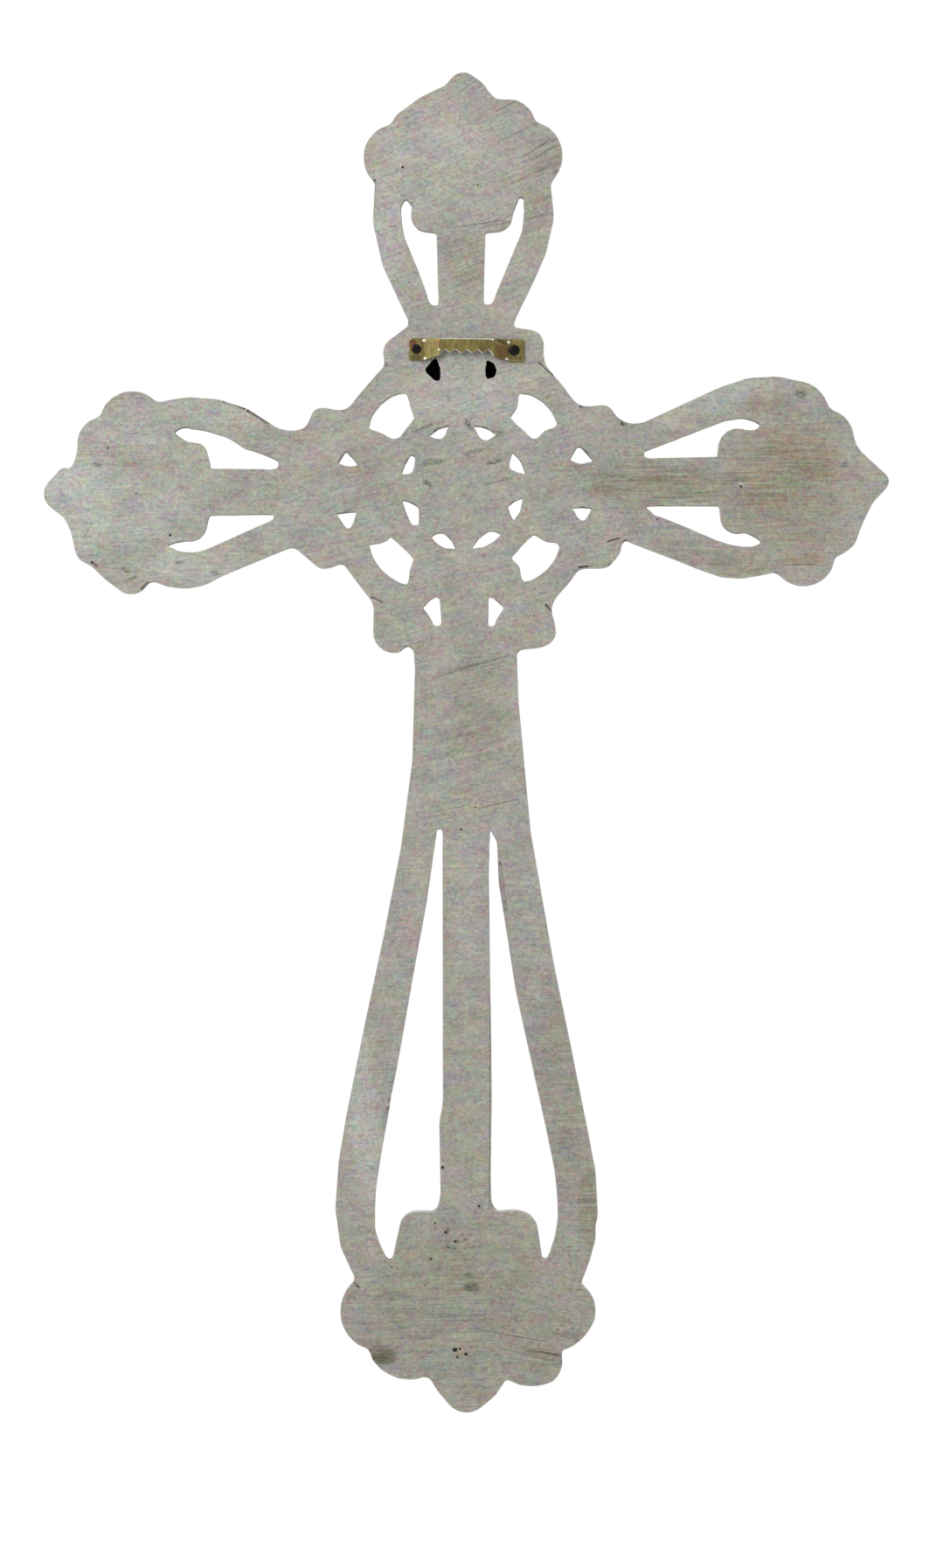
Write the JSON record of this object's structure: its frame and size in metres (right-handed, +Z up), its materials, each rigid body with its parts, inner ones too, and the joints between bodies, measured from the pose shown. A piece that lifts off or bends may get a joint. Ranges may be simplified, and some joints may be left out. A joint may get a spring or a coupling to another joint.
{
  "type": "wall cross",
  "caption": "Openwork wall cross cast in resin, with lobed palmette ends, a central rosette in a ring, and a toothed metal hanger screwed to its flat sanded back.",
  "frame": {"origin": "the middle of the hanger's raised outer face, just above the teeth in which the wall nail sits", "axes": "+Z up as the cross hangs, +Y out of the sanded back towards the wall, -Y out of the decorated front into the room, +X to the right seen from the front"},
  "size_m": [0.2844, 0.0191, 0.4513],
  "materials": {
    "cast_resin": "stone-filled cast resin, sanded bare on the back, thin pale grey paint on the front and sides",
    "brassed_steel": "bright brass plating on a thin steel strip",
    "blacked_steel": "blacked screws with a dull sheen"
  },
  "bodies": {
    "root": {"cast_cross": "cast_resin", "sawtooth_hanger": "brassed_steel", "hanger_screw_left": "blacked_steel", "hanger_screw_right": "blacked_steel"}
  },
  "joints": []
}
